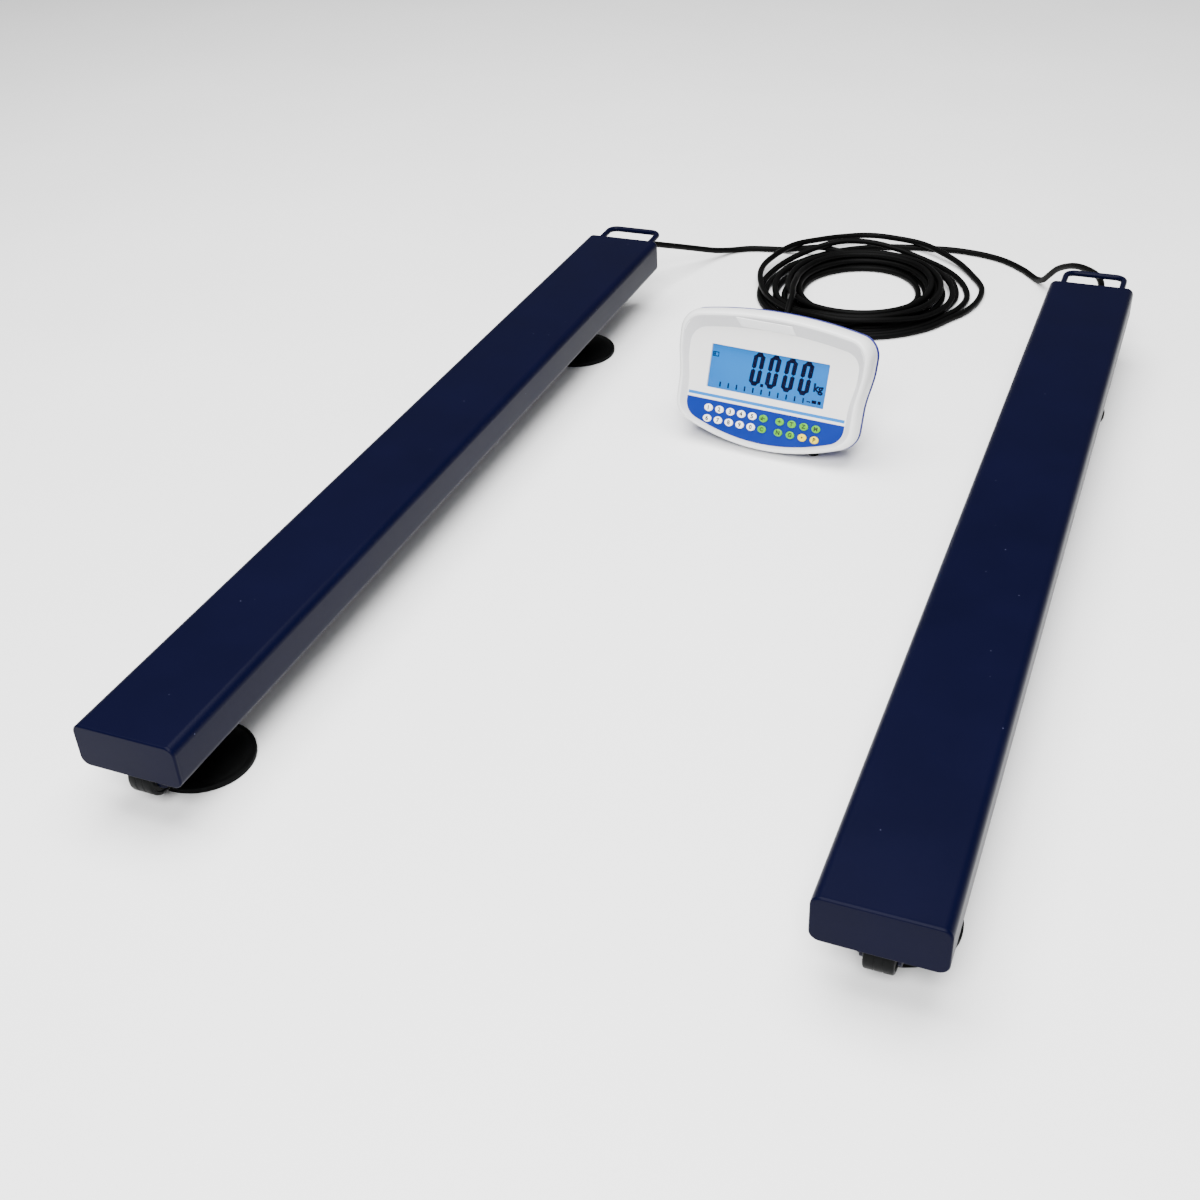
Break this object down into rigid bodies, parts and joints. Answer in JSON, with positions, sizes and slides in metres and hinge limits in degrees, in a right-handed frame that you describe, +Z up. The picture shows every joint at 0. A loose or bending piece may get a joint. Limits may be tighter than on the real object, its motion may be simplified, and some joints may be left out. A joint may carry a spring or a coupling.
{
  "type": "pallet scale",
  "caption": "Pallet scale: twin low weigh beams on levelling feet with end handles and transport rollers, cabled through a coil to a free-standing display unit.",
  "frame": {"origin": "on the floor, in the middle of the bounding box of the beams and indicator, cables not counted", "axes": "+Y runs along the beams from their roller ends to their handle ends, +Z is up from the floor, +X is across the beams towards the right one"},
  "size_m": [0.772, 1.5255, 0.166],
  "materials": {
    "navy_coat": "smooth gloss powder coat, dark navy",
    "pad_rubber": "moulded matt rubber",
    "roller_nylon": "moulded nylon",
    "zinc_steel": "zinc plated",
    "cell_steel": "nickel plated, machined",
    "gland_nylon": "moulded nylon",
    "cable_jacket": "smooth PVC jacket",
    "case_white": "moulded ABS, semi gloss",
    "case_blue": "moulded ABS, dark blue",
    "window_clear": "clear acrylic",
    "display_blue": "backlit liquid crystal display",
    "board_green": "solder mask",
    "keypad_print": "printed polyester film",
    "key_white": "printed dome",
    "key_green": "printed dome",
    "key_yellow": "printed dome",
    "battery_grey": "moulded case",
    "foot_rubber": "soft rubber"
  },
  "bodies": {
    "root": {"right_beam_tube": "navy_coat", "right_end_plates": "navy_coat", "right_handle": "navy_coat", "right_load_cells": "cell_steel", "right_cell_fasteners": "zinc_steel", "right_roller_bracket": "navy_coat", "right_roller_axle": "zinc_steel", "right_cable_gland": "gland_nylon", "front_shell": "case_white", "rear_shell": "case_blue", "display_window": "window_clear", "lcd_panel": "display_blue", "circuit_board": "board_green", "keypad_panel": "keypad_print", "battery": "battery_grey", "case_screws": "zinc_steel", "rubber_feet": "foot_rubber", "rear_sockets": "gland_nylon", "left_cable": "cable_jacket", "right_cable": "cable_jacket", "cable_coil": "cable_jacket"},
    "left_beam": {"left_beam_tube": "navy_coat", "left_end_plates": "navy_coat", "left_handle": "navy_coat", "left_load_cells": "cell_steel", "left_cell_fasteners": "zinc_steel", "left_roller_bracket": "navy_coat", "left_roller_axle": "zinc_steel", "left_cable_gland": "gland_nylon"},
    "right_front_pad": {"right_front_foot_pad": "pad_rubber"},
    "right_front_stem": {"right_front_foot_stem": "zinc_steel"},
    "right_rear_pad": {"right_rear_foot_pad": "pad_rubber"},
    "right_rear_stem": {"right_rear_foot_stem": "zinc_steel"},
    "right_roller": {"right_roller_wheel": "roller_nylon"},
    "left_front_pad": {"left_front_foot_pad": "pad_rubber"},
    "left_front_stem": {"left_front_foot_stem": "zinc_steel"},
    "left_rear_pad": {"left_rear_foot_pad": "pad_rubber"},
    "left_rear_stem": {"left_rear_foot_stem": "zinc_steel"},
    "left_roller": {"left_roller_wheel": "roller_nylon"},
    "stand": {"stand": "case_blue"},
    "key_1_1": {"key_1_1": "key_white"},
    "key_1_2": {"key_1_2": "key_white"},
    "key_1_3": {"key_1_3": "key_white"},
    "key_1_4": {"key_1_4": "key_white"},
    "key_1_5": {"key_1_5": "key_white"},
    "key_1_6": {"key_1_6": "key_green"},
    "key_1_7": {"key_1_7": "key_green"},
    "key_1_8": {"key_1_8": "key_green"},
    "key_1_9": {"key_1_9": "key_green"},
    "key_1_10": {"key_1_10": "key_green"},
    "key_2_1": {"key_2_1": "key_white"},
    "key_2_2": {"key_2_2": "key_white"},
    "key_2_3": {"key_2_3": "key_white"},
    "key_2_4": {"key_2_4": "key_white"},
    "key_2_5": {"key_2_5": "key_white"},
    "key_2_6": {"key_2_6": "key_green"},
    "key_2_7": {"key_2_7": "key_green"},
    "key_2_8": {"key_2_8": "key_green"},
    "key_2_9": {"key_2_9": "key_yellow"},
    "key_2_10": {"key_2_10": "key_yellow"}
  },
  "joints": [
    {"name": "beam_spacing", "type": "slide", "parent": "root", "child": "left_beam", "axis": [1, 0, 0], "range_m": [-0.12, 0.08]},
    {"name": "right_front_foot_height", "type": "slide", "parent": "root", "child": "right_front_pad", "axis": [0, 0, -1], "range_m": [0, 0.01]},
    {"name": "right_front_foot_screw", "type": "hinge", "parent": "right_front_pad", "child": "right_front_stem", "pos_m": [0.332, -0.524, 0.013], "axis": [0, 0, 1], "range_deg": [0, 2058.1]},
    {"name": "right_rear_foot_height", "type": "slide", "parent": "root", "child": "right_rear_pad", "axis": [0, 0, -1], "range_m": [0, 0.01]},
    {"name": "right_rear_foot_screw", "type": "hinge", "parent": "right_rear_pad", "child": "right_rear_stem", "pos_m": [0.332, 0.402, 0.013], "axis": [0, 0, 1], "range_deg": [0, 2058.1]},
    {"name": "right_roller_spin", "type": "hinge", "parent": "root", "child": "right_roller", "pos_m": [0.332, -0.591, 0.0395], "axis": [1, 0, 0], "continuous": true},
    {"name": "left_front_foot_height", "type": "slide", "parent": "left_beam", "child": "left_front_pad", "axis": [0, 0, -1], "range_m": [0, 0.01]},
    {"name": "left_front_foot_screw", "type": "hinge", "parent": "left_front_pad", "child": "left_front_stem", "pos_m": [-0.332, -0.544, 0.013], "axis": [0, 0, 1], "range_deg": [0, 2058.1]},
    {"name": "left_rear_foot_height", "type": "slide", "parent": "left_beam", "child": "left_rear_pad", "axis": [0, 0, -1], "range_m": [0, 0.01]},
    {"name": "left_rear_foot_screw", "type": "hinge", "parent": "left_rear_pad", "child": "left_rear_stem", "pos_m": [-0.332, 0.382, 0.013], "axis": [0, 0, 1], "range_deg": [0, 2058.1]},
    {"name": "left_roller_spin", "type": "hinge", "parent": "left_beam", "child": "left_roller", "pos_m": [-0.332, -0.611, 0.0395], "axis": [1, 0, 0], "continuous": true},
    {"name": "stand_fold", "type": "hinge", "parent": "root", "child": "stand", "pos_m": [0.00642, 0.26527, 0.10033], "axis": [0.9945, -0.1045, 0], "range_deg": [-44, 0]},
    {"name": "key_1_1_press", "type": "slide", "parent": "root", "child": "key_1_1", "axis": [0.0982, 0.9345, -0.342], "range_m": [0, 0.0005], "stiffness_N_per_m": 1500},
    {"name": "key_1_2_press", "type": "slide", "parent": "root", "child": "key_1_2", "axis": [0.0982, 0.9345, -0.342], "range_m": [0, 0.0005], "stiffness_N_per_m": 1500},
    {"name": "key_1_3_press", "type": "slide", "parent": "root", "child": "key_1_3", "axis": [0.0982, 0.9345, -0.342], "range_m": [0, 0.0005], "stiffness_N_per_m": 1500},
    {"name": "key_1_4_press", "type": "slide", "parent": "root", "child": "key_1_4", "axis": [0.0982, 0.9345, -0.342], "range_m": [0, 0.0005], "stiffness_N_per_m": 1500},
    {"name": "key_1_5_press", "type": "slide", "parent": "root", "child": "key_1_5", "axis": [0.0982, 0.9345, -0.342], "range_m": [0, 0.0005], "stiffness_N_per_m": 1500},
    {"name": "key_1_6_press", "type": "slide", "parent": "root", "child": "key_1_6", "axis": [0.0982, 0.9345, -0.342], "range_m": [0, 0.0005], "stiffness_N_per_m": 1500},
    {"name": "key_1_7_press", "type": "slide", "parent": "root", "child": "key_1_7", "axis": [0.0982, 0.9345, -0.342], "range_m": [0, 0.0005], "stiffness_N_per_m": 1500},
    {"name": "key_1_8_press", "type": "slide", "parent": "root", "child": "key_1_8", "axis": [0.0982, 0.9345, -0.342], "range_m": [0, 0.0005], "stiffness_N_per_m": 1500},
    {"name": "key_1_9_press", "type": "slide", "parent": "root", "child": "key_1_9", "axis": [0.0982, 0.9345, -0.342], "range_m": [0, 0.0005], "stiffness_N_per_m": 1500},
    {"name": "key_1_10_press", "type": "slide", "parent": "root", "child": "key_1_10", "axis": [0.0982, 0.9345, -0.342], "range_m": [0, 0.0005], "stiffness_N_per_m": 1500},
    {"name": "key_2_1_press", "type": "slide", "parent": "root", "child": "key_2_1", "axis": [0.0982, 0.9345, -0.342], "range_m": [0, 0.0005], "stiffness_N_per_m": 1500},
    {"name": "key_2_2_press", "type": "slide", "parent": "root", "child": "key_2_2", "axis": [0.0982, 0.9345, -0.342], "range_m": [0, 0.0005], "stiffness_N_per_m": 1500},
    {"name": "key_2_3_press", "type": "slide", "parent": "root", "child": "key_2_3", "axis": [0.0982, 0.9345, -0.342], "range_m": [0, 0.0005], "stiffness_N_per_m": 1500},
    {"name": "key_2_4_press", "type": "slide", "parent": "root", "child": "key_2_4", "axis": [0.0982, 0.9345, -0.342], "range_m": [0, 0.0005], "stiffness_N_per_m": 1500},
    {"name": "key_2_5_press", "type": "slide", "parent": "root", "child": "key_2_5", "axis": [0.0982, 0.9345, -0.342], "range_m": [0, 0.0005], "stiffness_N_per_m": 1500},
    {"name": "key_2_6_press", "type": "slide", "parent": "root", "child": "key_2_6", "axis": [0.0982, 0.9345, -0.342], "range_m": [0, 0.0005], "stiffness_N_per_m": 1500},
    {"name": "key_2_7_press", "type": "slide", "parent": "root", "child": "key_2_7", "axis": [0.0982, 0.9345, -0.342], "range_m": [0, 0.0005], "stiffness_N_per_m": 1500},
    {"name": "key_2_8_press", "type": "slide", "parent": "root", "child": "key_2_8", "axis": [0.0982, 0.9345, -0.342], "range_m": [0, 0.0005], "stiffness_N_per_m": 1500},
    {"name": "key_2_9_press", "type": "slide", "parent": "root", "child": "key_2_9", "axis": [0.0982, 0.9345, -0.342], "range_m": [0, 0.0005], "stiffness_N_per_m": 1500},
    {"name": "key_2_10_press", "type": "slide", "parent": "root", "child": "key_2_10", "axis": [0.0982, 0.9345, -0.342], "range_m": [0, 0.0005], "stiffness_N_per_m": 1500}
  ],
  "couplings": [
    {"joint": "right_front_foot_screw", "follows": "right_front_foot_height", "rad_per_m": 3590.4},
    {"joint": "right_rear_foot_screw", "follows": "right_rear_foot_height", "rad_per_m": 3590.4},
    {"joint": "left_front_foot_screw", "follows": "left_front_foot_height", "rad_per_m": 3590.4},
    {"joint": "left_rear_foot_screw", "follows": "left_rear_foot_height", "rad_per_m": 3590.4}
  ]
}
